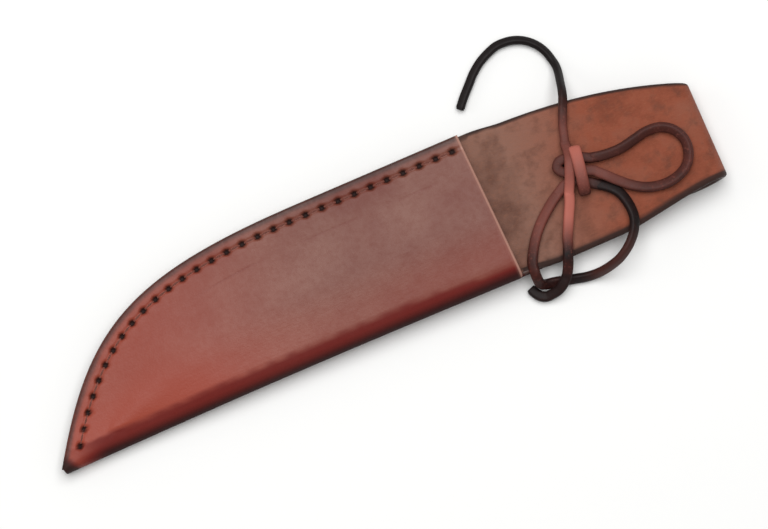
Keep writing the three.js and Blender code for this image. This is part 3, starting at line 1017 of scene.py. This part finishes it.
def flapTable():
    ended = pocketTable()[-1]
    firstRow = bodyLeather["foldSteps"] // 2 + len(bodyLeather["nearSeam"]) + bodyLeather["acrossSteps"] - 1
    start = ended[firstRow:]
    gaps = [0.0]
    for before, after in zip(start, start[1:]):
        gaps.append(gaps[-1] + (after[0] - before[0]).length)
    shares = [gap / gaps[-1] for gap in gaps]
    base = flapSpot(0.0)[0].z
    table = []
    for run in flapRuns():
        place, over = flapSpot(run)
        low, high = sideLimits(run)
        curl = smoothStep(bodyLeather["curlRun"], 0.0, run)
        column = []
        for share, gap, (spot, _, fromEdge, _, _) in zip(shares, gaps, start):
            y = lerp(lerp(low, high, share), spot.y, curl)
            lift = curl * (spot.z - base) + waviness(place.x, y, run)
            shift = smoothStep(0.012, 0.0, run) * (spot.x - flapCorners[0].x)
            at = Vector((place.x + shift, y, place.z)) + over * lift if run > 0 else spot.copy()
            width = high - low
            edge = min(share * width, (1 - share) * width, flapLength - run)
            column.append((at, 1.0 + run, (1 - share) * width, edge, 2))
        table.append(column)
    return table


def cutBody():
    pocket = gridOf("bodyLeather", pocketTable())
    flap = gridOf("flapSheet", flapTable())
    body = joinAs("bodyLeather", [pocket, flap])
    bpy.ops.object.mode_set(mode="EDIT")
    bpy.ops.mesh.select_all(action="SELECT")
    bpy.ops.mesh.remove_doubles(threshold=bodyLeather["weld"])
    bpy.ops.mesh.flip_normals()
    bpy.ops.object.mode_set(mode="OBJECT")
    for key in ("grainLeather", "fleshLeather", "dyedEdge"):
        body.data.materials.append(finishes[key])
    wall = body.modifiers.new("wall", "SOLIDIFY")
    wall.thickness = sheath["leather"]
    wall.offset = 0.0
    wall.use_quality_normals = True
    wall.vertex_group = "rim"
    wall.material_offset = 1
    wall.material_offset_rim = 2
    pick(body)
    bpy.ops.object.modifier_apply(modifier="wall")
    return body


# How far the tones reach from an edge, the fold, the mouth or the tip; the fold, sheen-falloff, crease and
# lower-edge tones are painted shade, the mouth's a painted highlight.
toneReach = {
    # dyed edge and painted shade on the flap's lower edge
    "flapLowerEdgeDyeAndShade": 0.0032,
    "flapEdge": 0.0016,
    "ragged": 0.0006,
    # the reach of the fold's painted shade
    "foldWide": (0.0062, 0.0088),
    "foldSoft": 0.0018,
    "deepFoldShade": (0.0050, 0.0012),
    "foldStart": 0.022,
    # the reach of the painted shading towards the tip and the fold
    "sheenFalloffRun": (0.16, 0.05),
    "sheenFalloffFold": (0.030, 0.010),
    "tip": (0.0105, 0.0065),
    "seamEdge": (0.0030, 0.0012),
    # the reach of the mouth's painted highlight
    "mouthHighlight": (0.0013, 0.0004),
    "creaseRun": (0.028, 0.040),
}


def pressSeam(body):
    mesh = body.data
    runs = readLayer(mesh, "alongSeam")
    insets = readLayer(mesh, "fromSeam")
    gaps = readLayer(mesh, "rimGap")
    faces = readLayer(mesh, "face")
    names = ("holeTone", "edgeDyeAndShade", "foldShadeAndBlackTip", "creaseShadeTone", "sheenFalloffTone", "mouthHighlightTone")
    tones = {name: [0.0] * len(runs) for name in names}
    normals = [vert.normal.copy() for vert in mesh.vertices]
    for index, vert in enumerate(mesh.vertices):
        run, inset, gap, face = runs[index], insets[index], gaps[index], faces[index]
        # random noise for ragged edges and the fold band's width
        wearAndHighlight = noise.noise(vert.co * 180)
        if face > 1.5:
            # dyed edges; the lower edge's wider dark band is painted shade, as it faces away from the light
            lower = inset > gap + 0.0005
            wide = toneReach["flapLowerEdgeDyeAndShade"] if lower else toneReach["flapEdge"]
            ragged = wide + toneReach["ragged"] * wearAndHighlight
            tones["edgeDyeAndShade"][index] = 0.95 * smoothStep(ragged, 0.55 * wide, gap)
            continue
        outer = normals[index].z * face > 0
        hole = stitchHole(inset, run)
        if outer and abs(normals[index].z) > 0.8:
            broken = smoothStep(-0.3, 0.4, noise.noise(vert.co * 60))
            # the tooled crease is sunk and darkened with painted shade
            crease = smoothStep(stitches["creaseHalf"], 0, abs(inset - stitches["creaseInset"]))
            crease *= smoothStep(*toneReach["creaseRun"], run) * (1 if face > 0 else 0) * broken
            sink = stitches["grooveDepth"] * seamGroove(inset, run) + stitches["holeDepth"] * hole
            sink += stitches["creaseDepth"] * crease
            vert.co.z -= face * sink
            # painted shade in the stitch holes
            tones["holeTone"][index] = hole
            tones["creaseShadeTone"][index] = 0.30 * crease
        # painted shade: a band along the fold, where it turns from the light, darkest at its edge; the tip
        # is blackened too
        fromFold = vert.co.y - foldEdge
        wide = lerp(*toneReach["foldWide"], smoothStep(seamLength, seamLength - 0.05, run)) + 0.0008 * wearAndHighlight
        band = 0.6 * smoothStep(wide, wide - toneReach["foldSoft"], fromFold)
        band += 0.4 * smoothStep(*toneReach["deepFoldShade"], fromFold)
        toTip = smoothStep(0, toneReach["foldStart"], vert.co.x + halfLength)
        # painted shading: redder towards the tip and the fold, where the sheen falls off
        warmShading = 0.75 * smoothStep(*toneReach["sheenFalloffRun"], run)
        tones["sheenFalloffTone"][index] = warmShading + 0.25 * smoothStep(*toneReach["sheenFalloffFold"], fromFold)
        tip = smoothStep(*toneReach["tip"], (vert.co - fromPocket(0, foldEdge, 0.004)).length)
        tones["foldShadeAndBlackTip"][index] = max(band * toTip, tip)
        far, near = toneReach["seamEdge"]
        edge = smoothStep(far + toneReach["ragged"] * wearAndHighlight, near, inset)
        tones["edgeDyeAndShade"][index] = 0.8 * max(edge, tip)
        # painted highlight along the mouth's lip; its rim faces take the grain finish so that it shows
        tones["mouthHighlightTone"][index] = smoothStep(*toneReach["mouthHighlight"], seamLength - run) if face > 0 else 0.0
    mouthHighlightFaces = [polygon for polygon in mesh.polygons if polygon.material_index == 2]
    for polygon in mouthHighlightFaces:
        if all(tones["mouthHighlightTone"][vert] > 0.9 for vert in polygon.vertices):
            polygon.material_index = 0
    for key, values in tones.items():
        writeLayer(mesh, key, values)
    mesh.update()


body = cutBody()
pressSeam(body)
smoothShade(body, 60)
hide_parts("front_panel", "back_panel", "belt_flap", "loop_strap", "loop_tab")
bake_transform(body)
print("body leather", len(body.data.polygons), "faces")


# The welt's two layers

welt = {
    "outerInset": 0.00025,
    "innerInset": 0.0146,
    "rows": 12,
    "gap": 0.00012,
    "mouthInset": 0.0006,
}


def weltTable(layer):
    table = []
    for run in stationRuns()[::2] + [seamLength - welt["mouthInset"]]:
        if run > seamLength - welt["mouthInset"]:
            continue
        place, inward = seamAt(run)
        reach = inwardReach(place, inward)
        room = stackAt(run) - 2 * sheath["leather"]
        height = sheath["leather"] + room * (0.25 + 0.5 * layer)
        column = []
        for row in range(welt["rows"] + 1):
            share = row / welt["rows"]
            out = lerp(welt["outerInset"], min(welt["innerInset"], 0.93 * reach), share ** 1.6)
            spot = place + inward * out
            shift = endShift(spot, 1, height, run)
            at = fromPocket(spot.x + shift, spot.y, height)
            column.append((at, run, out, min(out, seamLength - run), room))
        table.append(column)
    return table


def cutWelt(name, node, layer):
    strip = gridOf(name, weltTable(layer))
    strip.data.name = name
    group = strip.vertex_groups["rim"]
    room = readLayer(strip.data, "face")
    gap = readLayer(strip.data, "rimGap")
    most = sheath["stack"] - 2 * sheath["leather"]
    for index in range(len(strip.data.vertices)):
        edge = gap[index] - welt["outerInset"]
        group.add([index], min(1.0, 0.75 + edge / 0.002) * room[index] / most, "REPLACE")
    wall = strip.modifiers.new("wall", "SOLIDIFY")
    wall.thickness = most / 2 - welt["gap"]
    wall.offset = 0.0
    wall.vertex_group = "rim"
    pick(strip)
    bpy.ops.object.modifier_apply(modifier="wall")
    strip.data.materials.append(finishes["dyedEdge"])
    bpy.ops.object.mode_set(mode="EDIT")
    bpy.ops.mesh.select_all(action="SELECT")
    bpy.ops.mesh.normals_make_consistent(inside=False)
    bpy.ops.object.mode_set(mode="OBJECT")
    smoothShade(strip, 50)
    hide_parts(node)
    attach(strip, "pocket")


cutWelt("weltBack", "welt_back", 0)
cutWelt("weltFront", "welt_front", 1)
print("welt")


# The stitching

thread = {
    "width": 0.00080,
    "thick": 0.00065,
    "sides": 8,
    "sink": 0.0011,
    "lieSeam": 0.00030,
    "lieLoop": -0.00010,
    "endGap": 0.00115,
    "step": 0.0006,
}


def stitchOver(begin, finishAt, out, sunk):
    along = (finishAt - begin).normalized() * thread["endGap"]
    begin = begin + along
    finishAt = finishAt - along
    span = finishAt - begin
    down = -out * thread["sink"]
    lie = -out * sunk
    route = [
        begin + down,
        begin + down * 0.35 + span * 0.02,
        begin + lie + span * 0.13,
        begin + lie * 0.4 + span * 0.5,
        finishAt + lie - span * 0.13,
        finishAt + down * 0.35 - span * 0.02,
        finishAt + down,
    ]
    return curvePath(route, thread["step"])


def sew(name, nodes, rows):
    section = roundedStrip(thread["sides"], thread["width"], thread["thick"], 0.9)
    strands = []
    for places, out, sunk in rows:
        for index, (before, after) in enumerate(zip(places, places[1:])):
            path = stitchOver(before, after, out, sunk)
            strands.append(addStrand(f"{name}{index}", path, section, material="waxedThread"))
    sewn = joinAs(name, strands)
    smoothShade(sewn, 50)
    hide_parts(*nodes)
    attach(sewn, "pocket")


def seamPlaces(height):
    places = []
    for index in range(stitches["count"]):
        run = stitches["start"] + index * stitchStep
        place, inward = seamAt(run)
        spot = place + inward * stitches["inset"]
        places.append(fromPocket(spot.x, spot.y, height(run)))
    return places


loopRows = {
    "start": 0.156,
    "end": 0.189,
    "count": 6,
    "heights": (0.008, -0.018),
}


def loopPlaces(y):
    step = (loopRows["end"] - loopRows["start"]) / (loopRows["count"] - 1)
    under = -sheath["tabDrop"]
    return [fromPocket(loopRows["start"] + index * step, y, under) for index in range(loopRows["count"])]


lifted = fromPocket(0, 0, 1) - fromPocket(0, 0, 0)
frontRow = seamPlaces(lambda run: stackAt(run) - stitches["grooveDepth"])
backRow = seamPlaces(lambda run: stitches["grooveDepth"])
seamRows = [(frontRow, lifted, thread["lieSeam"]), (backRow, -lifted, thread["lieSeam"])]
loopRowsUnder = [(loopPlaces(y), -lifted, thread["lieLoop"]) for y in loopRows["heights"]]
sew("seamThread", ("seam_thread_a", "seam_thread_b"), seamRows)
sew("loopThread", ("loop_thread_upper", "loop_thread_lower"), loopRowsUnder)
print("stitching")
